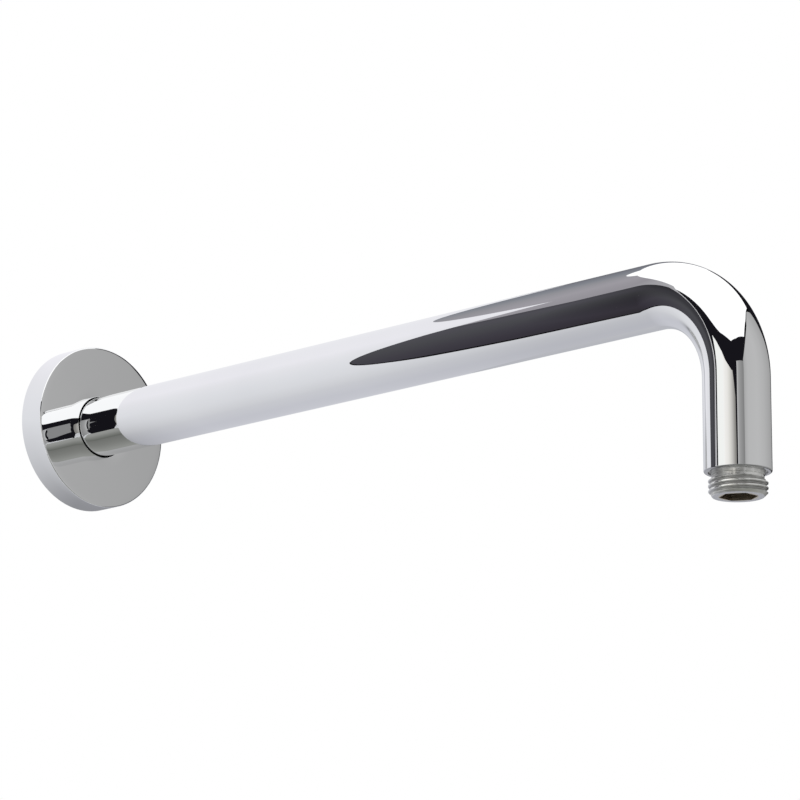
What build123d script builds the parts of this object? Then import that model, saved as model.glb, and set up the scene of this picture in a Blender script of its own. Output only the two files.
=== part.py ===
from build123d import *
from math import cos, pi
import os

# Shower arm: a tube bent once, with a threaded nipple screwed into a brazed bush at each end,
# and a wall flange that slides along the tube on a rubber ring.
# The origin is where the arm's axis meets the finished wall. +X runs out of the wall along the
# arm, +Z is up, and the outlet faces -Z. All sizes are in millimetres.

# The arm's line
arm_reach = 345.0           # wall to the outlet's axis
outlet_drop = 69.8          # arm's axis down to the tube's outlet end
bend_radius = 36.0          # along the tube's centre line
wall_gap = 1.0              # wall to the tube's inlet end

# Nipples, from the thread inwards
thread_major_d = 20.955     # G 1/2 pipe thread over its crests
thread_height = 1.3775      # crest to neck
outlet_thread_length = 5.5
inlet_thread_length = 14.0
neck_length = 1.8
collar_length = 1.3         # collar that stands out of the tube, below the neck
collar_step = 0.12          # collar over neck, on the radius
shank_step = 0.15           # neck over shank, on the radius
shank_length = 9.0
shank_wall = 2.0            # shank to the socket's corners
socket_sides = 6
socket_depth = 10.0
socket_land = 0.1           # flats of the socket over the drilled bore, on the radius

# Bushes and seals, from the shank outwards
thread_gap = 0.05           # shank in the bush's tapped hole
bush_wall = 1.45
bush_recess = 0.5           # bush's face below the tube's end
lip_thickness = 2.0
washer_gap = 0.25           # washer in the tapped hole
washer_width = 2.2
washer_thickness = 1.5

# Tube
braze_gap = 0.05            # bush in the tube
tube_wall = 1.5
outlet_edge_break = 0.6

# Flange and its ring
flange_outside_d = 66.0
flange_depth = 11.5
flange_face = 2.5
flange_rim = 2.0
flange_edge_break = 0.5
hole_gap = 0.4              # flange's hole round the tube
hub_recess = 2.0            # hub's end in front of the wall
hub_wall = 2.0
groove_land = 1.2           # hub's end to the ring's groove
ring_thickness = 2.5        # on the radius
ring_width = 2.7
ring_grip_gap = 0.05        # ring round the tube
ring_seat_gap = 0.05        # ring in the groove's floor
ring_side_gap = 0.2         # ring between the groove's walls

# Radii that follow, from the thread inwards to the bore and then outwards to the tube
thread_r = thread_major_d / 2
neck_r = thread_r - thread_height
collar_r = neck_r + collar_step
shank_r = neck_r - shank_step
socket_corner_r = shank_r - shank_wall
bore_r = socket_corner_r * cos(pi / socket_sides) - socket_land
tapped_r = shank_r + thread_gap
washer_r = tapped_r - washer_gap
washer_bore_r = washer_r - washer_width
bush_r = tapped_r + bush_wall
tube_bore_r = bush_r + braze_gap
tube_r = tube_bore_r + tube_wall

# Distances along a nipple that follow, outwards from the tube's end
shank_end = -bush_recess - shank_length
washer_end = shank_end - washer_thickness
bush_end = washer_end - lip_thickness
neck_start = collar_length
thread_start = neck_start + neck_length

# The ring's groove, which the flange and the ring share
ring_bore_r = tube_r + ring_grip_gap
ring_r = ring_bore_r + ring_thickness
groove_r = ring_r + ring_seat_gap
groove_width = ring_width + 2 * ring_side_gap
groove_back = hub_recess + groove_land

# A tube end's own frame has X pointing out of the tube.
inlet_end = Location((wall_gap, 0, 0), (0, 0, 180))
outlet_end = Location((arm_reach, 0, -outlet_drop), (0, 90, 0))


def turned(*points):
    """A turned piece, from its half section as (distance along X, radius) points."""
    return revolve(make_face(Polyline(*points, close=True)), Axis.X)


def make_tube():
    """The drawn tube, bent once, with its outlet edge broken."""
    line = FilletPolyline(
        (wall_gap, 0, 0), (arm_reach, 0, 0), (arm_reach, 0, -outlet_drop), radius=bend_radius
    )
    section = Plane(line @ 0, z_dir=line % 0) * (Circle(tube_r) - Circle(tube_bore_r))
    tube = sweep(section, line)
    outlet_rim = tube.faces().sort_by(Axis.Z)[0].outer_wire().edges()
    return chamfer(outlet_rim, outlet_edge_break)


def make_bush():
    """The brazed bush: a tapped hole for the nipple and a lip that the washer seats on."""
    return turned(
        (-bush_recess, tapped_r),
        (-bush_recess, bush_r),
        (bush_end, bush_r),
        (bush_end, washer_bore_r),
        (washer_end, washer_bore_r),
        (washer_end, tapped_r),
    )


def make_washer():
    """The flat seal between the nipple's inner end and the bush's lip."""
    return turned(
        (shank_end, washer_bore_r),
        (shank_end, washer_r),
        (washer_end, washer_r),
        (washer_end, washer_bore_r),
    )


def make_nipple(thread_length):
    """A nipple: shank, collar, neck and thread, with a hexagon socket and a through bore."""
    end = thread_start + thread_length
    body = turned(
        (shank_end, 0),
        (shank_end, shank_r),
        (-bush_recess, shank_r),
        (-bush_recess, collar_r),
        (neck_start, collar_r),
        (neck_start, neck_r),
        (thread_start, neck_r),
        (thread_start, thread_r),
        (end - thread_height, thread_r),
        (end, neck_r),
        (end, 0),
    )
    bore = extrude(Plane.YZ.offset(shank_end) * Circle(bore_r), end - shank_end)
    socket = extrude(Plane.YZ.offset(end) * RegularPolygon(socket_corner_r, socket_sides), -socket_depth)
    return body - bore - socket


def make_flange():
    """The hollow cover: a flat face, a deep rim that meets the wall, and a hub with the ring's groove."""
    rim_r = flange_outside_d / 2
    rim_bore_r = rim_r - flange_rim
    face_back = flange_depth - flange_face
    hole_r = tube_r + hole_gap
    groove_front = groove_back + groove_width
    hub_r = groove_r + hub_wall
    profile = make_face(
        Polyline(
            (0, rim_bore_r),
            (0, rim_r),
            (flange_depth, rim_r),
            (flange_depth, hole_r),
            (groove_front, hole_r),
            (groove_front, groove_r),
            (groove_back, groove_r),
            (groove_back, hole_r),
            (hub_recess, hole_r),
            (hub_recess, hub_r),
            (face_back, hub_r),
            (face_back, rim_bore_r),
            close=True,
        )
    )
    outer_corner = profile.vertices().sort_by_distance((flange_depth, rim_r, 0))[0]
    return revolve(chamfer(outer_corner, flange_edge_break), Axis.X)


def make_ring():
    """The square-cut rubber ring between the walls of its groove, which grips the tube."""
    back = groove_back + ring_side_gap
    front = back + ring_width
    return turned((back, ring_bore_r), (front, ring_bore_r), (front, ring_r), (back, ring_r))


pieces = {
    "arm_tube": make_tube(),
    "inlet_bush": inlet_end * make_bush(),
    "inlet_washer": inlet_end * make_washer(),
    "inlet_nipple": inlet_end * make_nipple(inlet_thread_length),
    "outlet_bush": outlet_end * make_bush(),
    "outlet_washer": outlet_end * make_washer(),
    "outlet_nipple": outlet_end * make_nipple(outlet_thread_length),
    "wall_flange": make_flange(),
    "flange_ring": make_ring(),
}

os.makedirs("parts", exist_ok=True)
for node, piece in pieces.items():
    export_step(piece, f"parts/{node}.step")
    print(f"{node}: {piece.volume:.1f} mm3")
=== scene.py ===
# %% [markdown]
# # A chromed shower arm
#
# This lesson dresses a shower arm: a polished tube that leaves the wall, bends once and ends in a
# threaded nipple, with a round cover that slides along the tube to the wall. The measured solids
# are loaded as a fixed frame. Each piece is then modelled again over its solid, finely enough for a
# mirror finish, because chrome shows every facet.

# %% Load the fixed frame
from math import ceil, cos, hypot, pi, radians, sin

import bpy
from mathutils import Matrix, Vector


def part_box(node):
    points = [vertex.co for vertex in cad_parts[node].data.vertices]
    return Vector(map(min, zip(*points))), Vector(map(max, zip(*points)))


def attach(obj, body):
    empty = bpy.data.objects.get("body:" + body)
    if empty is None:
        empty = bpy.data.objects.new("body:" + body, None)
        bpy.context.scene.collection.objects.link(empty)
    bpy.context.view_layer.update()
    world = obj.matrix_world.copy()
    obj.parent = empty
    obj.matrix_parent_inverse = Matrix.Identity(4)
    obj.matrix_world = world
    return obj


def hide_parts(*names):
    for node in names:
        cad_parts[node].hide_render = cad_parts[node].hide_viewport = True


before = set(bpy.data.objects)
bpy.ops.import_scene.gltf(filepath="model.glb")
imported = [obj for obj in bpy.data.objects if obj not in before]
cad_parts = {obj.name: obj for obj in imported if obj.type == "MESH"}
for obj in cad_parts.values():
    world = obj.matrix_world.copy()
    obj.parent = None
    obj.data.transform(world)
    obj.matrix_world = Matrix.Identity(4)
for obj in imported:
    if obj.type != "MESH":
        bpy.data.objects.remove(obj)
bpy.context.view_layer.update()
MM = 0.001
print("nodes:", ", ".join(sorted(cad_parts)))

# %% [markdown]
# ## A few hand tools
#
# Every operator works on what is selected, so each piece starts from an empty selection. Edges are
# picked by where they lie, as one would click them. A finished piece sits at the origin with its
# place in its mesh, so its patterns stay put when the arm is moved.

# %% Select and pick
def deselect_all():
    """Leaves edit mode and clears the selection."""
    if bpy.context.mode != "OBJECT":
        bpy.ops.object.mode_set(mode="OBJECT")
    bpy.ops.object.select_all(action="DESELECT")


def make_active(piece):
    """Selects this piece alone."""
    deselect_all()
    piece.select_set(True)
    bpy.context.view_layer.objects.active = piece


def pick_edges(piece, test):
    """Enters edit mode with just the edges selected whose two ends both pass a test of their place."""
    make_active(piece)
    bpy.ops.object.mode_set(mode="EDIT")
    bpy.ops.mesh.select_mode(type="EDGE")
    bpy.ops.mesh.select_all(action="DESELECT")
    bpy.ops.object.mode_set(mode="OBJECT")
    places = [vertex.co for vertex in piece.data.vertices]
    for edge in piece.data.edges:
        edge.select = all(test(places[i]) for i in edge.vertices)
    bpy.ops.object.mode_set(mode="EDIT")


# %% Apply, shade, place and report
SHARP_ANGLE = radians(32)
FACE_WEIGHT = 100


def apply_modifier(piece, kind, **settings):
    """Adds a modifier, sets it and applies it."""
    make_active(piece)
    modifier = piece.modifiers.new(kind.title(), kind)
    for name, value in settings.items():
        setattr(modifier, name, value)
    bpy.ops.object.modifier_apply(modifier=modifier.name)


def smooth(piece):
    """Shades a piece smoothly up to the sharp angle, and lets its large faces rule the shading."""
    make_active(piece)
    bpy.ops.object.shade_smooth_by_angle(angle=SHARP_ANGLE)
    apply_modifier(piece, "WEIGHTED_NORMAL", mode="FACE_AREA", weight=FACE_WEIGHT, keep_sharp=True)


def place(piece, location, rotation):
    """Moves a piece from its own frame to its place, and puts that place in its mesh."""
    make_active(piece)
    piece.location = location
    piece.rotation_euler = rotation
    bpy.ops.object.transform_apply(location=True, rotation=True, scale=True)


def report(piece):
    """Prints how many faces a piece has, and its size."""
    size = " x ".join(f"{(max(along) - min(along)) / MM:.2f}" for along in zip(*piece.bound_box))
    print(f"{piece.name}: {len(piece.data.polygons)} faces, {size} mm")


# %% [markdown]
# ## The tube
#
# The arm is one drawn tube, bent once. One could sweep a circle along a curve, but a ring that is
# pulled along, spun round the bend and pulled down is just as short, and its rings land exactly
# where the straight stretches end. A Solidify modifier then gives the wall its thickness, and the
# outlet's edge is rounded as the polisher leaves it.

# %% Pull, weld and turn outwards
WELD = 0.001 * MM


def start_ring(x, radius, sides):
    """Adds a ring round the X axis at this distance, and leaves it selected in edit mode."""
    deselect_all()
    bpy.ops.mesh.primitive_circle_add(
        vertices=sides, radius=radius, location=(x, 0, 0), rotation=(0, pi / 2, 0)
    )
    ring = bpy.context.object
    bpy.ops.object.transform_apply(location=True, rotation=True, scale=True)
    bpy.ops.object.mode_set(mode="EDIT")
    bpy.ops.mesh.select_all(action="SELECT")
    return ring


def pull(*step):
    """Pulls what is selected on by this step."""
    bpy.ops.mesh.extrude_region_move(TRANSFORM_OT_translate={"value": step})


def weld(distance=WELD):
    """Joins the points of the whole skin that lie this near to each other."""
    bpy.ops.mesh.select_all(action="SELECT")
    bpy.ops.mesh.remove_doubles(threshold=distance)


def face_outwards():
    """Turns the skin's faces outwards, and leaves edit mode."""
    bpy.ops.mesh.select_all(action="SELECT")
    bpy.ops.mesh.normals_make_consistent(inside=False)
    bpy.ops.object.mode_set(mode="OBJECT")


# %% Make the tube
tube_low, tube_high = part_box("arm_tube")
tube_radius = tube_high.z
inlet_x = tube_low.x
outlet_x = tube_high.x - tube_radius
outlet_z = tube_low.z
bend_radius = 36 * MM
tube_wall = 1.5 * MM
TUBE_SIDES = 192
BEND_STEPS = 96


def make_tube():
    """The tube's skin: a ring pulled along the run, spun round the bend and pulled down the drop."""
    bend_start = outlet_x - bend_radius
    tube = start_ring(inlet_x, tube_radius, TUBE_SIDES)
    pull(bend_start - inlet_x, 0, 0)
    bpy.ops.mesh.spin(
        steps=BEND_STEPS, angle=pi / 2, center=(bend_start, 0, -bend_radius), axis=(0, -1, 0)
    )
    pull(0, 0, outlet_z + bend_radius)
    weld()
    face_outwards()
    return tube


arm_tube = make_tube()
arm_tube.name = "chrome_arm"
apply_modifier(arm_tube, "SOLIDIFY", thickness=tube_wall, offset=-1, use_even_offset=True)
report(arm_tube)

# %% Round the tube's ends
outlet_round = 0.6 * MM
inlet_round = 0.3 * MM
ROUND_STEPS = 6
NEAR = 0.02 * MM


def round_off(piece, test, width, steps=ROUND_STEPS):
    """Rounds the edges of a piece whose two ends both pass a test of their place."""
    pick_edges(piece, test)
    bpy.ops.mesh.bevel(offset=width, segments=steps, affect="EDGES")
    bpy.ops.object.mode_set(mode="OBJECT")


def round_edge(piece, x, radius, width, steps=ROUND_STEPS):
    """Rounds the edge loop round the X axis that lies at this distance and radius."""

    def on_loop(co):
        return abs(co.x - x) < NEAR and abs(hypot(co.y, co.z) - radius) < NEAR

    round_off(piece, on_loop, width, steps)


def on_outlet_rim(co):
    """Whether a point lies on the outer edge of the tube's outlet."""
    return abs(co.z - outlet_z) < NEAR and abs(hypot(co.x - outlet_x, co.y) - tube_radius) < NEAR


round_off(arm_tube, on_outlet_rim, outlet_round)
round_edge(arm_tube, inlet_x, tube_radius, inlet_round)
smooth(arm_tube)
report(arm_tube)

# %% [markdown]
# ## Turned pieces
#
# The cover, the bushes, the washers and the ring are all round about one axis, so one helper serves
# them as a lathe: it starts from a ring and pulls it from point to point of the half section, widening
# or narrowing it on the way. Spinning a profile would do as well, but pulling rings keeps every edge
# loop in one easy selection for the bevels.

# %% The lathe
def pull_rings(section):
    """Pulls the selected ring, which lies at the section's first point, through the other points."""
    for (x, radius), (next_x, next_radius) in zip(section, section[1:]):
        pull(next_x - x, 0, 0)
        share = next_radius / radius
        bpy.ops.transform.resize(value=(1, share, share), center_override=(next_x, 0, 0))


def turned(name, section, sides):
    """A closed turned piece along X, from the (distance, radius) points of its half section."""
    piece = start_ring(*section[0], sides)
    piece.name = name
    pull_rings(section + [section[0]])
    weld()
    face_outwards()
    return piece


# %% [markdown]
# ## The wall cover
#
# A flat-faced cup, turned from the bar: its rim reaches back to the wall, and a short hub behind its
# face holds the ring that grips the tube. Polishing rolls the flat face off a little towards its rim
# and its hole, which bends the tube's mirror image there, so the section has a few extra points. Wide
# bevels could round those edges, but they would end too suddenly for so slight a roll-off.

# %% Roll off the cover's face
flange_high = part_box("wall_flange")[1]
flange_radius = flange_high.z
flange_depth = flange_high.x
hole_gap = 0.4 * MM
hole_radius = tube_radius + hole_gap
# The roll-off at the rim, as (millimetres in from the rim, millimetres of dip).
rim_roll = [(0, 0.07), (0.8, 0.035), (1.6, 0.012), (2.5, 0.003), (3.5, 0)]
roll_start = 17.5 * MM
roll_dip = 0.26 * MM
ROLL_POWER = 2.45
ROLL_STEPS = 12

face_points = [(flange_depth - dip * MM, flange_radius - inset * MM) for inset, dip in rim_roll]
for step in range(ROLL_STEPS + 1):
    share = step / ROLL_STEPS
    roll_radius = roll_start + share * (hole_radius - roll_start)
    face_points.append((flange_depth - roll_dip * share**ROLL_POWER, roll_radius))
rim_corner, hole_corner = face_points[0], face_points[-1]
print(f"cover's face: {len(face_points)} points")

# %% Turn the wall cover
face_back = flange_depth - 2.5 * MM
rim_bore = flange_radius - 2 * MM
hub_back = 2 * MM
hub_radius = 16.6 * MM
groove_back = 3.2 * MM
groove_front = 6.3 * MM
groove_radius = 14.6 * MM
FLANGE_SIDES = 256

cover_section = [
    (0, flange_radius),
    *face_points,
    (groove_front, hole_radius),
    (groove_front, groove_radius),
    (groove_back, groove_radius),
    (groove_back, hole_radius),
    (hub_back, hole_radius),
    (hub_back, hub_radius),
    (face_back, hub_radius),
    (face_back, rim_bore),
    (0, rim_bore),
]
# The rounds of its edges, as (distance, radius, millimetres of width).
cover_rounds = [
    (*rim_corner, 0.5),
    (*hole_corner, 0.3),
    (0, flange_radius, 0.25),
    (0, rim_bore, 0.25),
    (hub_back, hole_radius, 0.3),
    (hub_back, hub_radius, 0.3),
    (face_back, hub_radius, 0.8),
    (face_back, rim_bore, 1.2),
]
wall_cover = turned("chrome_wall_cover", cover_section, FLANGE_SIDES)
for x, radius, width in cover_rounds:
    round_edge(wall_cover, x, radius, width * MM)
smooth(wall_cover)
report(wall_cover)

# %% [markdown]
# ## The nipples
#
# Each end of the tube carries a turned nipple with a half-inch pipe thread, whose crests and roots
# are round. A bump pattern could fake a thread, but these crests show in the outline, so they are
# modelled. The Screw modifier winds one pitch of that profile into a helix, as the lathe's tool does.
# The ends of the helix are then trimmed to cones, so that the thread rises out of the neck and falls
# away at the tip. The tip is closed, and the ring at the inner end is pulled on into the neck, the
# collar and the shank. A hexagon for the key and a through bore are cut last, with Boolean modifiers.

# %% The thread's profile
DEPTH_SHARE = 0.640327
ROUND_SHARE = 0.137329
thread_pitch = 1.814 * MM
thread_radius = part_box("outlet_nipple")[1].y
thread_depth = DEPTH_SHARE * thread_pitch
thread_round = ROUND_SHARE * thread_pitch
crest_wear = 0.11 * MM
flank_angle = radians(27.5)
ARC_STEPS = 6


def thread_profile():
    """One pitch of the thread as (distance, radius) points, from crest to crest."""
    half_turn = pi / 2 - flank_angle
    steps = [half_turn * (2 * i / ARC_STEPS - 1) for i in range(ARC_STEPS + 1)]
    crest_y = thread_radius + crest_wear - thread_round
    root_y = thread_radius + crest_wear - thread_depth + thread_round
    crest = [(thread_round * sin(a), crest_y + thread_round * cos(a)) for a in steps]
    root = [(thread_pitch / 2 + thread_round * sin(a), root_y - thread_round * cos(a)) for a in steps]
    middle = ARC_STEPS // 2
    next_crest = [(thread_pitch + x, radius) for x, radius in crest[: middle + 1]]
    return crest[middle:] + root + next_crest


print(f"thread: {len(thread_profile())} points a pitch")

# %% Wind the thread
THREAD_STEPS = 144
SPARE_TURNS = 2
THREAD_WELD = 0.002 * MM


def wind_thread(start, end, phase):
    """A helical skin round X that covers the stretch from start to end with whole turns to spare."""
    profile = thread_profile()
    turns = ceil((end - start) / thread_pitch) + SPARE_TURNS + 1
    first_x = start - SPARE_TURNS * thread_pitch + phase
    deselect_all()
    bpy.ops.mesh.primitive_plane_add(size=thread_pitch)
    skin = bpy.context.object
    bpy.ops.object.mode_set(mode="EDIT")
    bpy.ops.mesh.select_mode(type="VERT")
    bpy.ops.mesh.select_all(action="SELECT")
    bpy.ops.mesh.merge(type="CENTER")
    bpy.ops.transform.translate(value=(first_x, 0, profile[0][1]))
    for (x, radius), (next_x, next_radius) in zip(profile, profile[1:]):
        pull(next_x - x, 0, next_radius - radius)
    apply_modifier(
        skin, "SCREW", axis="X", angle=2 * pi, screw_offset=thread_pitch, iterations=turns,
        steps=THREAD_STEPS, render_steps=THREAD_STEPS, use_merge_vertices=False,
    )
    bpy.ops.object.mode_set(mode="EDIT")
    weld(THREAD_WELD)
    bpy.ops.object.mode_set(mode="OBJECT")
    return skin


# %% Trim the thread and cut off its ends
neck_radius = 9.1 * MM
thread_runout = 0.45 * MM
CUT_TOLERANCE = 1e-7


def trim_thread(skin, start, end):
    """Lowers the thread's ends to cones that start at the neck's radius, and wears its crests flat."""
    rise = (thread_radius - neck_radius) / thread_runout
    for vertex in skin.data.vertices:
        x, y, z = vertex.co
        limit = min(thread_radius, neck_radius + max(0, min((x - start) * rise, end - x)))
        share = min(1, limit / hypot(y, z))
        vertex.co = (x, y * share, z * share)


def cut_off(skin, x, side):
    """Cuts off what lies past this distance, and leaves the new edge loop selected in edit mode."""
    make_active(skin)
    bpy.ops.object.mode_set(mode="EDIT")
    bpy.ops.mesh.select_mode(type="EDGE")
    bpy.ops.mesh.select_all(action="SELECT")
    bpy.ops.mesh.bisect(
        plane_co=(x, 0, 0), plane_no=(side, 0, 0), clear_outer=True, use_fill=False,
        threshold=CUT_TOLERANCE,
    )


# %% Pull on the neck, the collar and the shank
collar_radius = 9.22 * MM
collar_length = 1.3 * MM
collar_top = collar_length - 0.1 * MM
collar_flare = 0.35 * MM
flare_at_tube = 0.1 * MM
groove_depth = 0.14 * MM
groove_floor = collar_length + 0.12 * MM
groove_top = collar_length + 0.25 * MM
bush_recess = 0.5 * MM
foot_seat = 0.02 * MM
shank_radius = 8.95 * MM
shank_end = -9.5 * MM
shank_chamfer = 0.6 * MM


def pull_shank(skin, start, end):
    """Closes the thread's tip, and pulls the neck, collar and shank out of its inner end."""
    cut_off(skin, end, 1)
    bpy.ops.mesh.edge_face_add()
    cut_off(skin, start, -1)
    foot = -bush_recess + foot_seat
    pull_rings(
        [
            (start, neck_radius),
            (groove_top, neck_radius),
            (groove_floor, neck_radius - groove_depth),
            (collar_length, neck_radius - groove_depth),
            (collar_top, collar_radius),
            (collar_flare, collar_radius),
            (0, collar_radius + flare_at_tube),
            (foot, collar_radius + collar_flare),
            (foot, shank_radius),
            (shank_end + shank_chamfer, shank_radius),
            (shank_end, shank_radius - shank_chamfer),
        ]
    )
    bpy.ops.mesh.edge_face_add()
    face_outwards()


# %% Cut the key's socket and the bore
socket_corner = 6.95 * MM
socket_depth = 10 * MM
SOCKET_SIDES = 6
bore_radius = 5.919 * MM
BORE_SIDES = 96
overshoot = 2 * MM


def cut(piece, sides, radius, low_x, high_x):
    """Cuts a straight hole with this many sides out of a turned piece, along X."""
    deselect_all()
    bpy.ops.mesh.primitive_cylinder_add(
        vertices=sides, radius=radius, depth=high_x - low_x,
        location=((low_x + high_x) / 2, 0, 0), rotation=(0, pi / 2, 0),
    )
    tool = bpy.context.object
    bpy.ops.object.transform_apply(location=True, rotation=True, scale=True)
    apply_modifier(piece, "BOOLEAN", operation="DIFFERENCE", solver="EXACT", object=tool)
    bpy.data.objects.remove(tool)


# %% Make both nipples and set them in the tube's ends
neck_length = 1.8 * MM
thread_lead = 0.7 * MM
thread_start = collar_length + neck_length
inlet_thread_length = 14 * MM
outlet_thread_length = 5.5 * MM
outlet_phase = 1.73 * MM
inlet_place = ((inlet_x, 0, 0), (0, 0, pi))
outlet_place = ((outlet_x, 0, outlet_z), (0, pi / 2, 0))


def make_nipple(name, thread_length, phase, where):
    """A whole nipple, set in its end of the tube, whose thread leads a little way into the neck."""
    start, end = thread_start - thread_lead, thread_start + thread_length
    nipple = wind_thread(start, end, phase)
    nipple.name = name
    trim_thread(nipple, start, end)
    pull_shank(nipple, start, end)
    cut(nipple, SOCKET_SIDES, socket_corner, end - socket_depth, end + overshoot)
    cut(nipple, BORE_SIDES, bore_radius, shank_end - overshoot, end + overshoot)
    place(nipple, *where)
    smooth(nipple)
    report(nipple)
    return nipple


inlet_nipple = make_nipple("nickel_inlet_nipple", inlet_thread_length, 0, inlet_place)
outlet_nipple = make_nipple("nickel_outlet_nipple", outlet_thread_length, outlet_phase, outlet_place)

# %% [markdown]
# ## Bushes, washers and the ring
#
# A brass bush is brazed into each end of the tube, tapped for the nipple. A flat washer seals the
# nipple's inner end on the bush's lip. The cover's rubber ring was cut from a moulded sleeve, so its
# edges are soft. A torus could serve for the ring, but its section has flat sides, and the lathe makes
# all of these pieces from their half sections.

# %% Turn the bushes and washers
bush_radius = 10.45 * MM
tapped_radius = 9 * MM
washer_radius = 8.75 * MM
washer_bore = 6.55 * MM
washer_thickness = 1.5 * MM
lip_thickness = 2 * MM
washer_end = shank_end - washer_thickness
bush_end = washer_end - lip_thickness
bush_inner_round = 0.4 * MM
bush_outer_round = 0.15 * MM
washer_round = 0.2 * MM
WASHER_STEPS = 4
SMALL_SIDES = 128

bush_section = [
    (-bush_recess, bush_radius),
    (-bush_recess, tapped_radius),
    (washer_end, tapped_radius),
    (washer_end, washer_bore),
    (bush_end, washer_bore),
    (bush_end, bush_radius),
]
washer_section = [
    (shank_end, washer_radius),
    (shank_end, washer_bore),
    (washer_end, washer_bore),
    (washer_end, washer_radius),
]
small_pieces = {}
for end_name, where in (("inlet", inlet_place), ("outlet", outlet_place)):
    bush = turned(f"brass_{end_name}_bush", bush_section, SMALL_SIDES)
    round_edge(bush, bush_end, bush_radius, bush_inner_round)
    round_edge(bush, -bush_recess, bush_radius, bush_outer_round)
    washer = turned(f"rubber_{end_name}_washer", washer_section, SMALL_SIDES)
    for x, radius in washer_section:
        round_edge(washer, x, radius, washer_round, WASHER_STEPS)
    for node_name, piece in ((f"{end_name}_bush", bush), (f"{end_name}_washer", washer)):
        place(piece, *where)
        smooth(piece)
        report(piece)
        small_pieces[node_name] = piece

# %% Turn the ring
ring_low, ring_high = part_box("flange_ring")
ring_grip_gap = 0.05 * MM
ring_thickness = 2.5 * MM
ring_bore = tube_radius + ring_grip_gap
ring_radius = ring_bore + ring_thickness
ring_round = 0.6 * MM

ring_section = [
    (ring_low.x, ring_radius),
    (ring_high.x, ring_radius),
    (ring_high.x, ring_bore),
    (ring_low.x, ring_bore),
]
cover_ring = turned("rubber_cover_ring", ring_section, SMALL_SIDES)
for x, radius in ring_section:
    round_edge(cover_ring, x, radius, ring_round)
smooth(cover_ring)
report(cover_ring)

# %% [markdown]
# ## Finishes
#
# A finish is a small tree of nodes, and a few helpers keep each of them to a few lines. Patterns
# are noise on the object's own coordinates, so they stay with the piece. Values that are the same
# all over are set on the shader itself.

# %% Node helpers
X, Y, Z = range(3)
UNIT = (0, 1)


def new_material(name, metallic):
    """A material, with its node tree and its shader."""
    material = bpy.data.materials.new(name)
    material.use_nodes = True
    tree = material.node_tree
    shader = tree.nodes["Principled BSDF"]
    shader.inputs["Metallic"].default_value = metallic
    return material, tree, shader


def feed(tree, socket, value):
    """Links a socket to an output, or sets it to a constant."""
    if isinstance(value, bpy.types.NodeSocket):
        tree.links.new(value, socket)
    else:
        socket.default_value = value


def node(tree, kind, inputs, output, **settings):
    """Adds a node with these settings and inputs, and gives one of its outputs."""
    made = tree.nodes.new(kind)
    for name, value in settings.items():
        setattr(made, name, value)
    for key, value in inputs.items():
        feed(tree, made.inputs[key], value)
    return made.outputs[output]


def maths(tree, operation, *values):
    """A sum on numbers."""
    return node(tree, "ShaderNodeMath", dict(enumerate(values)), "Value", operation=operation)


def vectors(tree, operation, *values, output="Vector"):
    """A sum on vectors."""
    return node(tree, "ShaderNodeVectorMath", dict(enumerate(values)), output, operation=operation)


def object_place(tree):
    """The place of a point in its object's own frame."""
    return node(tree, "ShaderNodeTexCoord", {}, "Object")


def place_along(tree, axis):
    """The X, Y or Z of a point in its object's own frame."""
    return node(tree, "ShaderNodeSeparateXYZ", {"Vector": object_place(tree)}, axis)


# %% Patterns and ramps
def noise(tree, scale, stretch=(1, 1, 1), detail=3):
    """Noise on object coordinates, stretched along the axes."""
    where = node(tree, "ShaderNodeMapping", {"Vector": object_place(tree), "Scale": stretch}, "Vector")
    return node(tree, "ShaderNodeTexNoise", {"Vector": where, "Scale": scale, "Detail": detail}, "Fac")


def spread(tree, value, from_span, to_span=UNIT):
    """Maps a value from one range to another, and keeps it there."""
    spans = dict(zip(("From Min", "From Max", "To Min", "To Max"), from_span + to_span))
    return node(tree, "ShaderNodeMapRange", {"Value": value, **spans}, "Result")


def ramp(tree, value, stops):
    """A colour ramp on a value, from (position, colour or grey) stops."""
    made = tree.nodes.new("ShaderNodeValToRGB")
    elements = made.color_ramp.elements
    while len(elements) > len(stops):
        elements.remove(elements[-1])
    while len(elements) < len(stops):
        elements.new(0.5)
    for element, (position, colour) in zip(elements, stops):
        element.position = position
        element.color = (*colour, 1) if isinstance(colour, tuple) else (colour, colour, colour, 1)
    feed(tree, made.inputs["Fac"], value)
    return made.outputs["Color"]


def blend(tree, factor, first, second, blend_type="MIX"):
    """Mixes two colours."""
    made = tree.nodes.new("ShaderNodeMixRGB")
    made.blend_type = blend_type
    for socket, value in zip(made.inputs, (factor, first, second)):
        feed(tree, socket, value)
    return made.outputs["Color"]


def bump(tree, shader, height, strength, distance):
    """Bump from a height, into the shader's normal."""
    inputs = {"Height": height, "Strength": strength, "Distance": distance}
    feed(tree, shader.inputs["Normal"], node(tree, "ShaderNodeBump", inputs, "Normal"))


# %% [markdown]
# Chrome is almost a mirror, so what keeps it from looking like a drawing is very slight: the
# polishing wheel leaves faint streaks in its gloss, and the plating is never quite even in tone. A
# texture could be painted for both, but stretched noise is enough and has no seams. The cover was
# polished while it turned, so its streaks lie across its axis.

# %% Polished chrome
CHROME_TONES = [(0.3, (0.855, 0.86, 0.868)), (0.7, (0.875, 0.88, 0.886))]
CHROME_TONE_SCALE = 22
CHROME_GLOSS = (0.004, 0.014)
STREAK_SCALE = 320
COVER_STREAKS = (1, 0.3, 0.3)


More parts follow.
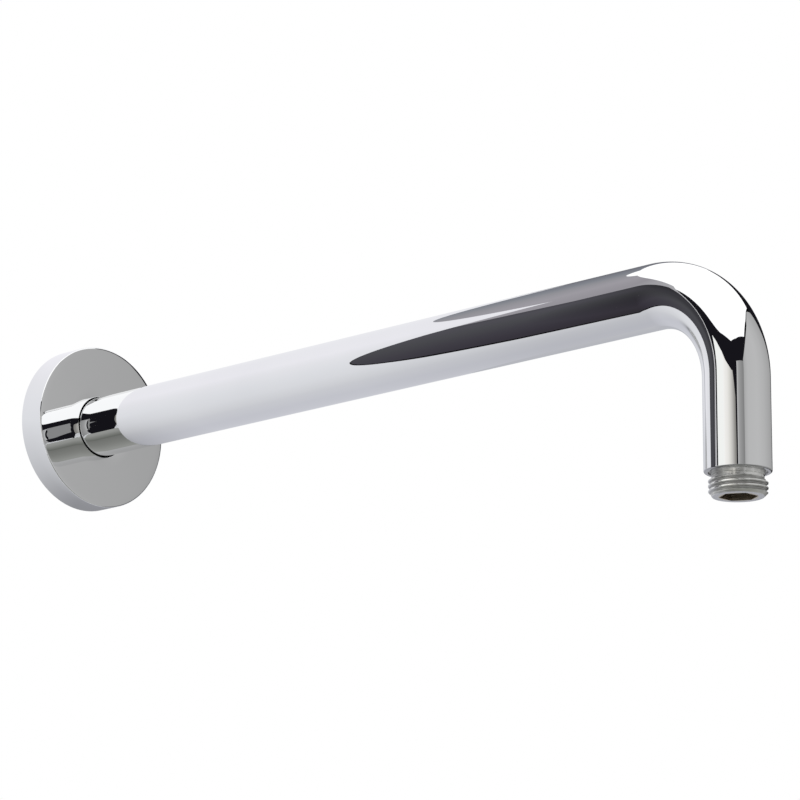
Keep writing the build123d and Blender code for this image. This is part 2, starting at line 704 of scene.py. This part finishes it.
def polished_chrome(name, streaks):
    """Chrome plate with faint polishing streaks, which are longest along the smallest stretch."""
    material, tree, shader = new_material(name, metallic=1)
    tone = ramp(tree, noise(tree, CHROME_TONE_SCALE), CHROME_TONES)
    gloss = spread(tree, noise(tree, STREAK_SCALE, streaks, detail=4), UNIT, CHROME_GLOSS)
    feed(tree, shader.inputs["Base Color"], tone)
    feed(tree, shader.inputs["Roughness"], gloss)
    return material, tree, shader, tone, gloss


chrome_cover = polished_chrome("chrome_cover", COVER_STREAKS)[0]
print("finish:", chrome_cover.name)

# %% [markdown]
# The tube's streaks lie along its long run. The last stretch of the lip at the outlet is duller and
# darker. A second material on those faces would do, but
# the height of a point can decide which of the two finishes it has, and it blends them softly.

# %% Chrome with a duller lip
TUBE_STREAKS = (0.06, 1, 1)
LIP_SPAN = (outlet_z + 0.55 * MM, outlet_z + 0.3 * MM)
LIP_TONE = (0.5, 0.5, 0.51, 1)
LIP_DULLNESS = 0.12


def tube_chrome():
    """The cover's chrome, but duller at the outlet's lip."""
    material, tree, shader, tone, gloss = polished_chrome("chrome_tube", TUBE_STREAKS)
    lip = spread(tree, place_along(tree, Z), LIP_SPAN)
    feed(tree, shader.inputs["Base Color"], blend(tree, lip, tone, LIP_TONE))
    feed(tree, shader.inputs["Roughness"], maths(tree, "MULTIPLY_ADD", lip, LIP_DULLNESS, gloss))
    return material


chrome_tube = tube_chrome()
print("finish:", chrome_tube.name)

# %% [markdown]
# The nipples are nickel over turned brass and were never polished: the tool's fine rings blur their
# gloss. The thread's crests carry a painted highlight and its roots and flanks a painted shade, so the
# distance from the axis rules the tone; the crests are also glossier and the flanks duller. The end
# face is an even grey from facing, and inside the socket the plating is thin and the brass shows
# through, dull and brown. One material with a few tests of place serves all of these, so that no face
# has to be picked by hand.

# %% Turned nickel
NECK_TO_CREST = (8.5 * MM, 10.5 * MM)
# The tone from the neck to the crest: a painted shade in the roots and on the flanks, and a painted
# highlight on the crests.
CREST_HIGHLIGHT_ROOT_SHADE = [(0.36, 0.86), (0.44, 0.55), (0.75, 0.6), (0.9, 0.8), (0.985, 0.98)]
DULLNESS = [(0.36, 0.2), (0.44, 0.4), (0.75, 0.36), (0.95, 0.1)]
TIP_SPAN = (1.5 * MM, 0.9 * MM)
TIP_SHARE = 0.75
TIP_TONE = (0.88, 0.88, 0.87, 1)
PATCH_SCALE = 300
PATCH_TONES = [(0.3, (0.78, 0.78, 0.76)), (0.6, (1, 1, 0.98))]
FACED_DEPTH = 0.03 * MM
FACED_TONE = (0.61, 0.615, 0.63, 1)
SOCKET_MARGIN = 0.02 * MM
BRASS_SCALE = 400
BRASS_TONES = [(0.3, (0.5, 0.44, 0.35)), (0.7, (0.66, 0.59, 0.48))]
MARK_SCALE = 120
MARK_STRETCH = 40
MARK_DULLNESS = 0.12
MARK_STRENGTH = 0.35
MARK_DEPTH = 0.03 * MM


def turned_nickel(name, axis, centre, tip):
    """Nickel over turned brass, round an axis through a centre, with its end face at the tip."""
    material, tree, shader = new_material(name, metallic=1)
    away = vectors(tree, "SUBTRACT", object_place(tree), centre)
    radial = vectors(tree, "MULTIPLY", away, [float(k != axis) for k in (X, Y, Z)])
    radius = vectors(tree, "LENGTH", radial, output="Value")
    from_tip = maths(tree, "SUBTRACT", place_along(tree, axis), tip)
    height = spread(tree, radius, NECK_TO_CREST)
    at_tip = spread(tree, from_tip, TIP_SPAN, (0, TIP_SHARE))
    # A painted highlight on the crests and a painted shade in the roots and on the flanks, by the distance
    # from the axis.
    thread_tone_with_painted_light = blend(tree, at_tip, ramp(tree, height, CREST_HIGHLIGHT_ROOT_SHADE), TIP_TONE)
    patches = ramp(tree, noise(tree, PATCH_SCALE, detail=6), PATCH_TONES)
    nickel = blend(tree, 1, thread_tone_with_painted_light, patches, "MULTIPLY")
    is_end = maths(tree, "LESS_THAN", from_tip, FACED_DEPTH)
    faced = blend(tree, is_end, nickel, FACED_TONE)
    is_inside = maths(tree, "LESS_THAN", radius, socket_corner + SOCKET_MARGIN)
    brass = ramp(tree, noise(tree, BRASS_SCALE, detail=5), BRASS_TONES)
    feed(tree, shader.inputs["Base Color"], blend(tree, is_inside, faced, brass))
    stretch = [MARK_STRETCH if k == axis else 1 for k in (X, Y, Z)]
    marks = noise(tree, MARK_SCALE, stretch, detail=4)
    dull = ramp(tree, height, DULLNESS)
    feed(tree, shader.inputs["Roughness"], maths(tree, "MULTIPLY_ADD", marks, MARK_DULLNESS, dull))
    bump(tree, shader, marks, MARK_STRENGTH, MARK_DEPTH)
    return material


nickel_inlet = turned_nickel("nickel_inlet", X, (0, 0, 0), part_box("inlet_nipple")[0].x)
nickel_outlet = turned_nickel("nickel_outlet", Z, (outlet_x, 0, 0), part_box("outlet_nipple")[0].z)
print("finishes:", nickel_inlet.name, nickel_outlet.name)

# %% [markdown]
# The bushes are brass that was plated along with the tube, so what shows of them is a dull grey. The
# seals are black rubber with a fine grain. Both are plain finishes whose tone, gloss and relief
# follow one noise, so one function makes them.

# %% Dull plate and rubber
GRAIN_SPAN = (0.3, 0.7)
GRAIN_STRENGTH = 0.3
PLATE_TONES = ((0.5, 0.495, 0.48), (0.64, 0.635, 0.62))
RUBBER_TONES = ((0.012, 0.012, 0.013), (0.03, 0.03, 0.031))


def grained(name, scale, tones, roughness, depth, metallic):
    """A finish whose tone, gloss and relief all follow one grain."""
    material, tree, shader = new_material(name, metallic)
    grain = noise(tree, scale, detail=5)
    feed(tree, shader.inputs["Base Color"], ramp(tree, grain, list(zip(GRAIN_SPAN, tones))))
    feed(tree, shader.inputs["Roughness"], spread(tree, grain, GRAIN_SPAN, roughness))
    bump(tree, shader, grain, GRAIN_STRENGTH, depth)
    return material


dull_plate = grained(
    "dull_plate", scale=180, tones=PLATE_TONES, roughness=(0.28, 0.45), depth=0.03 * MM, metallic=1
)
rubber = grained(
    "black_rubber", scale=900, tones=RUBBER_TONES, roughness=(0.5, 0.75), depth=0.05 * MM, metallic=0
)
print("finishes:", dull_plate.name, rubber.name)

# %% [markdown]
# ## Put the pieces on their bodies
#
# Each piece rides on the body that carries it, so that the cover slides along the arm with its
# ring, and gets the finish listed beside it.

# %% Dress the frame
dress = [
    (arm_tube, "arm_tube", "arm", "chrome_tube", chrome_tube),
    (wall_cover, "wall_flange", "flange", "chrome_flange", chrome_cover),
    (inlet_nipple, "inlet_nipple", "arm", "nipple_nickel", nickel_inlet),
    (outlet_nipple, "outlet_nipple", "arm", "nipple_nickel", nickel_outlet),
    (cover_ring, "flange_ring", "flange", "seal_rubber", rubber),
]
for node_name, piece in small_pieces.items():
    is_bush = node_name.endswith("bush")
    slot, material = ("bush_brass", dull_plate) if is_bush else ("seal_rubber", rubber)
    dress.append((piece, node_name, "arm", slot, material))
for piece, node_name, body, slot, material in dress:
    piece.data.materials.clear()
    piece.data.materials.append(material)
    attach(piece, body)
    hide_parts(node_name)
    print(f"{piece.name} stands for {node_name} on {body}")

# %% [markdown]
# ## The studio
#
# Chrome has no look of its own: it shows the room. So the studio is built as a photographer would,
# from a pale board behind the arm, a soft box just overhead, pale panels in front and at the right,
# and dark cloth between them that draws the dark lines along the tube. A picture of a room could
# surround the arm too, but cards need no file, and each of them can be moved alone. They are seen only
# in reflections, so they light nothing else and hide nothing. Their places are in millimetres, and
# their tones are the levels that the chrome shows.

# %% The light of a card
CHROME_TONE = 0.87
FULL_LEVEL = 255
SRGB_OFFSET = 0.055
SRGB_POWER = 2.4


def shown(level):
    """The light that a card gives so that chrome shows it at this display level."""
    share = (level / FULL_LEVEL + SRGB_OFFSET) / (1 + SRGB_OFFSET)
    return share**SRGB_POWER / CHROME_TONE


def light_of(level):
    """A colour of light, from one display level or three."""
    return tuple(shown(v) for v in level) if isinstance(level, tuple) else (shown(level),) * 3


def glowing(name):
    """A material that only gives light, with its node tree and its emission node."""
    material = bpy.data.materials.new(name)
    material.use_nodes = True
    tree = material.node_tree
    tree.nodes.clear()
    light = tree.nodes.new("ShaderNodeEmission")
    output = tree.nodes.new("ShaderNodeOutputMaterial")
    feed(tree, output.inputs["Surface"], light.outputs["Emission"])
    return material, tree, light


def level_light(name, levels, axis):
    """Light that follows (millimetres along an axis, display level or levels) pairs."""
    material, tree, light = glowing(name)
    first = levels[0][0]
    # A single level still needs some width.
    width = max(levels[-1][0] - first, 1)
    share = spread(tree, place_along(tree, axis), (first * MM, (first + width) * MM))
    stops = [((at - first) / width, light_of(level)) for at, level in levels]
    feed(tree, light.inputs["Color"], ramp(tree, share, stops))
    return material, tree, light


# %% Hang a card
FLOOR = -560


def hang(name, corners, material):
    """Hangs a card through these corners, where it is seen only in reflections."""
    deselect_all()
    bpy.ops.mesh.primitive_circle_add(vertices=len(corners), fill_type="NGON")
    made = bpy.context.object
    made.name = name
    for vertex, corner in zip(made.data.vertices, corners):
        vertex.co = Vector(corner) * MM
    made.data.materials.append(material)
    made.visible_camera = False
    made.visible_diffuse = False
    made.visible_transmission = False
    made.visible_volume_scatter = False
    made.visible_shadow = False
    print("card:", name)


def card(name, corners, levels, axis=X):
    """Hangs a card whose light follows (millimetres along an axis, display level) pairs."""
    hang(name, corners, level_light(name, levels, axis)[0])


def on_wall(corners, depth):
    """Moves (Y, Z) corners to the wall, so far behind its face."""
    return [(-depth, y, z) for y, z in corners]


def upright(*ends):
    """An upright card's corners, from the (azimuth, distance, top) of its ends as seen from the bend."""
    feet = [
        (outlet_x / MM + distance * cos(radians(azimuth)), distance * sin(radians(azimuth)))
        for azimuth, distance, top in ends
    ]
    low = [(*foot, FLOOR) for foot in feet]
    high = [(*foot, top) for foot, (azimuth, distance, top) in zip(feet, ends)]
    return low + high[::-1]


# %% [markdown]
# The board behind the arm is lit from above, so its light changes with the angle round the arm, and
# the cover throws a soft shadow on it, just below itself. An area lamp and a real board would give
# both, but ramps on the angle and on the distance from the arm's axis are quicker to tune and have no
# noise.

# %% The board behind the arm
board_corners = [
    (-230, FLOOR), (-200, -308), (-183, -240), (-183, -150), (-187.5, -100), (-188.2, -10), (-187.8, 60),
    (-187.5, 150), (-202, 257), (-34, 241), (245, 216), (245, FLOOR),
]
# The board's levels by the angle round the arm in degrees, and how strong the shadow is there.
ANGLE_LEVELS = [
    (-180, (219, 220, 224)), (-150, (214, 215, 219)), (-122, (205, 206, 210)), (-108, (199, 200, 205)),
    (-72, (193, 194, 201)), (-10, (195, 196, 203)), (12, (206, 207, 212)), (45, (228, 228, 232)),
    (125, (232, 231, 236)), (150, (225, 225, 229)), (180, (219, 220, 224)),
]
ANGLE_SHADE = [(-180, 0), (-160, 0.24), (-139, 0.46), (-117, 0.77), (-95, 1), (5, 1), (25, 0), (180, 0)]
# How deep the shadow is by the distance from the axis, up to the reach of the ramp.
SHADE_REACH = 400
RADIUS_SHADE = [
    (34, 0.54), (39, 0.5), (47, 0.25), (56, 0.16), (66, 0.08), (85, 0), (190, 0), (250, 0.055), (310, 0.13),
]


def by_turn(pairs):
    """Moves (degrees, value) pairs to shares of a whole turn."""
    return [((degrees + 180) / 360, value) for degrees, value in pairs]


def board_light(name):
    """Light that follows the angle round the arm, with the cover's shadow below it."""
    material, tree, light = glowing(name)
    angle = maths(tree, "ARCTAN2", place_along(tree, Z), place_along(tree, Y))
    turn = spread(tree, angle, (-pi, pi))
    distance = vectors(tree, "LENGTH", object_place(tree), output="Value")
    reach = spread(tree, distance, (0, SHADE_REACH * MM))
    levels = [(degrees, light_of(level)) for degrees, level in ANGLE_LEVELS]
    by_angle = ramp(tree, turn, by_turn(ANGLE_SHADE))
    by_radius = ramp(tree, reach, [(radius / SHADE_REACH, shade) for radius, shade in RADIUS_SHADE])
    shade = maths(tree, "MULTIPLY", by_angle, by_radius)
    feed(tree, light.inputs["Color"], ramp(tree, turn, by_turn(levels)))
    feed(tree, light.inputs["Strength"], maths(tree, "SUBTRACT", 1, shade))
    return material


hang("white_board", on_wall(board_corners, depth=1), board_light("white_board"))

# %% [markdown]
# Past the board's left edge hangs a charcoal cloth, which draws the long dark spear on the tube. Its
# light falls off towards its far side. A black strip between the board and the cloth, a painted shadow
# gap, and a grey wall above and at the right, close the view there. Cutting the cards to fit each other
# would take many corners, so they hang at slightly different depths, and the nearer one hides what
# lies behind it.

# %% The cloth, the painted shadow gap and the grey wall
BLACK = [(0, 12)]
cloth_corners = [
    (-150, FLOOR), (-150, 165), (-243, 184), (-290, 188), (-352, 229), (-445, 272), (-470, 235),
    (-483, 180), (-482, 146), (-448, 108), (-431, 86), (-406, 59), (-400, FLOOR),
]
cloth_levels = [
    (-300, (49, 46, 52)), (-180, (56, 53, 61)), (-60, (64, 62, 69)), (60, (73, 73, 77)),
    (140, (78, 77, 83)), (200, (70, 69, 75)), (270, (60, 59, 64)),
]
CLOTH_FALLOFF_SPAN = (-390 * MM, -310 * MM)
CLOTH_FALLOFF_LIGHT = (0.55, 1)
cloth_light, cloth_tree, cloth_glow = level_light("dark_cloth", cloth_levels, Z)
# The cloth's light falls off towards its far side.
cloth_falloff = spread(cloth_tree, place_along(cloth_tree, Y), CLOTH_FALLOFF_SPAN, CLOTH_FALLOFF_LIGHT)
feed(cloth_tree, cloth_glow.inputs["Strength"], cloth_falloff)
hang("dark_cloth", on_wall(cloth_corners, depth=2), cloth_light)

# A black strip, a painted shadow gap, between the board's edge and the cloth.
shadow_gap_corners = [
    (-256, FLOOR), (-170, FLOOR), (-170, 150), (-188.5, 150), (-189.4, 10), (-191.5, -60), (-194, -110),
    (-203, -230), (-222, -300),
]
card("painted_shadow_gap", on_wall(shadow_gap_corners, depth=1.5), BLACK)
wall_corners = [(-492, 0), (-492, 382), (900, 382), (900, 100), (-300, 100)]
wall_levels = [
    (-464, (166, 165, 168)), (-380, (160, 158, 163)), (-300, (148, 145, 151)), (-150, (157, 154, 160)),
    (-86, (152, 150, 156)), (-20, (146, 145, 150)), (30, (139, 140, 146)), (103, (127, 130, 137)),
    (195, (118, 120, 128)), (250, (110, 111, 118)),
]
card("grey_wall", on_wall(wall_corners, depth=4), wall_levels, Y)
low_corners = [(200, FLOOR), (900, FLOOR), (900, 105), (200, 105)]
low_levels = [(-260, (184, 185, 190)), (-120, (178, 179, 185)), (40, (174, 176, 182))]
card("low_wall", on_wall(low_corners, depth=5), low_levels, Z)

# %% [markdown]
# The soft box hangs over the bend, a little brighter than white. A black strip along one edge draws
# the thin line between its light and the grey panels at the right.

# %% The soft box and its dark edge
soft_height = 730
edge_height = 733
SOFT_WHITE = [(0, 262)]
soft_corners = [
    (-480, 1000), (-480, -1104), (-263, -1264), (-41, -1386), (140, -1412), (364, -1380), (620, -1260),
    (1000, -1090), (1160, -700), (1250, -280), (1285, -117), (1120, 60), (948, 267), (745, 500),
    (590, 690), (430, 830), (380, 1000),
]
edge_corners = [(1270, -120), (1105, 55), (940, 255), (1000, 300), (1122, 143), (1340, -92)]
card("soft_box", [(x, y, soft_height) for x, y in soft_corners], SOFT_WHITE)
card("soft_box_edge", [(x, y, edge_height) for x, y in edge_corners], BLACK)

# %% [markdown]
# In front stands a white panel whose light falls off to the right. Black cloth hangs far behind it and
# round to the right, and shows as the dark lines and wedges on the drop where panels leave a gap.

# %% The back cloth and the front panel
CLOTH_BLACK = [(0, (22, 21, 26))]
back_distance = 2400
back_top = 2900
back_turns = (235.2, 275, 320, 352, 385)
for first, last in zip(back_turns, back_turns[1:]):
    ends = [(azimuth, back_distance, back_top) for azimuth in (first, last)]
    card(f"dark_backcloth_{first:.0f}", upright(*ends), CLOTH_BLACK)

FRONT_WHITE = [(0, (241, 242, 239))]
front_left = upright((240.9, 1600, 400), (244.5, 1600, 531), (252.2, 1600, 562), (264, 1600, 545))
front_right = upright(
    (264, 1600, 545), (273.5, 1574, 470), (285.3, 1602, 418), (293, 1660, 376), (305, 1827, 388),
    (306.2, 1850, 350),
)
fall_off = [
    (178, (243, 242, 240)), (350, (237, 235, 231)), (560, (231, 229, 225)), (760, (217, 215, 209)),
    (965, (194, 192, 188)), (1160, (164, 162, 158)), (1330, (135, 133, 129)),
]
card("front_panel_left", front_left, FRONT_WHITE)
card("front_panel_right", front_right, fall_off)

# %% [markdown]
# At the right stand grey panels: a near one, one that turns the corner, and a long one beside the
# bend, whose upper part leans in towards the soft box. A dark strip along the leaning edge draws the
# line over the bend, and a dark stand closes the gap beside the long panel.

# %% The grey panels at the right
near_levels = [(-980, 192), (-900, 160), (-800, 148), (-560, 124)]
card("grey_panel_near", upright((310.8, 1290, 419), (334.5, 1300, 443)), near_levels, Y)
turn_levels = [(-438, 164), (-330, 174), (-200, 181), (358, 184)]
card("grey_panel_turn", upright((334, 1000, 355), (381, 1000, 1010)), turn_levels, Y)

side_y = 344
side_top = 188
side_corners = [
    (1285, FLOOR), (240, FLOOR), (240, 40), (312, 120), (347, 160), (362, side_top), (1285, side_top),
]
side_levels = [(240, 146), (352, 160), (464, 168), (632, 177), (912, 182), (1285, 184)]
card("grey_side", [(x, side_y, z) for x, z in side_corners], side_levels)

lean_foot = [(x, side_y, side_top) for x in (362, 526, 848, 1285)]
lean_top = [(382, 230, 174), (472, 255, 292), (773, 300, 569), (1285, 344, 1000)]
lean_edge = [(378, 220, 187), (479, 238, 291), (774, 274, 571), (1255, 302, 1026)]


def strip(low, high, k):
    """The corners of one stretch between two lines of points."""
    return [low[k], low[k + 1], high[k + 1], high[k]]


for k in range(len(lean_foot) - 1):
    card(f"grey_lean_{k}", strip(lean_foot, lean_top, k), side_levels)
    card(f"dark_lean_edge_{k}", strip(lean_top, lean_edge, k), BLACK)
stand_corners = [(400, 347, FLOOR), (40, 470, FLOOR), (40, 470, 395), (400, 347, 312)]
card("dark_stand", stand_corners, CLOTH_BLACK)

# %% [markdown]
# Beside the cover, the tube and the cover's face form a corner that looks straight back, past the
# camera. It shows a small grey patch between dark cloths there, and the grey table below.

# %% What the corner beside the cover sees
PATCH_GREY = [(0, 140)]
patch_corners = [
    (1824, -1484, 687), (1805, -1506, 697), (1776, -1539, 617), (1722, -1601, 223), (1730, -1591, -281),
    (1745, -1574, -306), (1786, -1528, -527), (1803, -1509, -555), (1766, -1546, -280),
    (1766, -1546, 330),
]
card("grey_patch", patch_corners, PATCH_GREY)
foot_corners = [(1440, -1495, FLOOR), (960, -735, FLOOR), (960, -735, -250), (1440, -1495, -440)]
card("dark_foot", foot_corners, CLOTH_BLACK)

table_height = -420
table_corners = [(60, -600), (900, -600), (900, 720), (60, 720)]
table_levels = [
    (-690, (165, 166, 162)), (-420, (150, 151, 147)), (-235, (114, 116, 111)), (-213, (105, 107, 102)),
    (-185, (118, 119, 115)), (0, (130, 131, 127)), (243, (150, 151, 147)),
]
card("grey_table", [(x, y, table_height) for x, y in table_corners], table_levels, Y)

# %% [markdown]
# ## Light, floor and camera
#
# One large lamp overhead and an even pale world light the arm at a plain level. The world is white
# to the camera and in reflections, and a little dimmer as a light, so that the floor keeps its tone.
# The Light Path node tells the two apart.

# %% World and lamp
WORLD_LIGHT = 0.7
lamp_place = (0.2, -0.1, 1.4)
lamp_size = 1.4
lamp_power = 10

world = bpy.data.worlds.new("pale_studio")
bpy.context.scene.world = world
world.use_nodes = True
world_tree = world.node_tree
rays = world_tree.nodes.new("ShaderNodeLightPath")
seen = maths(world_tree, "MAXIMUM", rays.outputs["Is Camera Ray"], rays.outputs["Is Glossy Ray"])
seen = maths(world_tree, "MAXIMUM", seen, rays.outputs["Is Transmission Ray"])
background = world_tree.nodes["Background"]
background.inputs["Color"].default_value = (1, 1, 1, 1)
feed(world_tree, background.inputs["Strength"], spread(world_tree, seen, UNIT, (WORLD_LIGHT, 1)))

deselect_all()
bpy.ops.object.light_add(type="AREA", location=lamp_place)
lamp = bpy.context.object
lamp.data.shape = "DISK"
lamp.data.size = lamp_size
lamp.data.energy = lamp_power
lamp.visible_glossy = False
print("lamp:", lamp.data.energy, "W")

# %% [markdown]
# The floor is one large pale plane, far enough below the arm to stay out of the picture. It needs
# no edge or pattern, only a faint unevenness, so that it doesn't look like plain paint.

# %% Floor
floor_size = 14
FLOOR_SCALE = 3
FLOOR_TONES = [(0.3, (0.83, 0.84, 0.86)), (0.7, (0.85, 0.86, 0.88))]
FLOOR_ROUGHNESS = 0.8

deselect_all()
bpy.ops.mesh.primitive_plane_add(size=floor_size, location=(0, 0, FLOOR * MM))
floor = bpy.context.object
floor.name = "pale_floor"
floor_material, floor_tree, floor_shader = new_material("pale_floor", metallic=0)
floor_tone = ramp(floor_tree, noise(floor_tree, FLOOR_SCALE), FLOOR_TONES)
feed(floor_tree, floor_shader.inputs["Base Color"], floor_tone)
floor_shader.inputs["Roughness"].default_value = FLOOR_ROUGHNESS
floor.data.materials.append(floor_material)
print("floor:", floor.name)

# %% [markdown]
# The camera stands low at the right and looks up the arm, through a long lens, as in the photograph.
# A target to track would do for most pictures, but here the three angles were fitted to the arm's
# outline, so they are set one by one.

# %% Camera
camera_azimuth = radians(44.30)
camera_elevation = radians(-13.45)
camera_roll = radians(0.12)
camera_place = Vector((1231.3, -1076.5, -376.4)) * MM
sensor_width = 36
lens = 184.24

deselect_all()
bpy.ops.object.camera_add(location=camera_place)
camera = bpy.context.object
turn = (
    Matrix.Rotation(camera_azimuth, 4, "Z")
    @ Matrix.Rotation(pi / 2 - camera_elevation, 4, "X")
    @ Matrix.Rotation(camera_roll, 4, "Z")
)
camera.matrix_world = Matrix.Translation(camera_place) @ turn
camera.data.sensor_width = sensor_width
camera.data.lens = lens
scene = bpy.context.scene
scene.camera = camera
scene.view_settings.view_transform = "Standard"
print("camera:", [round(v, 3) for v in camera.location])

# %% [markdown]
# ## The end
#
# Last, the selection is cleared.

# %% The end
deselect_all()
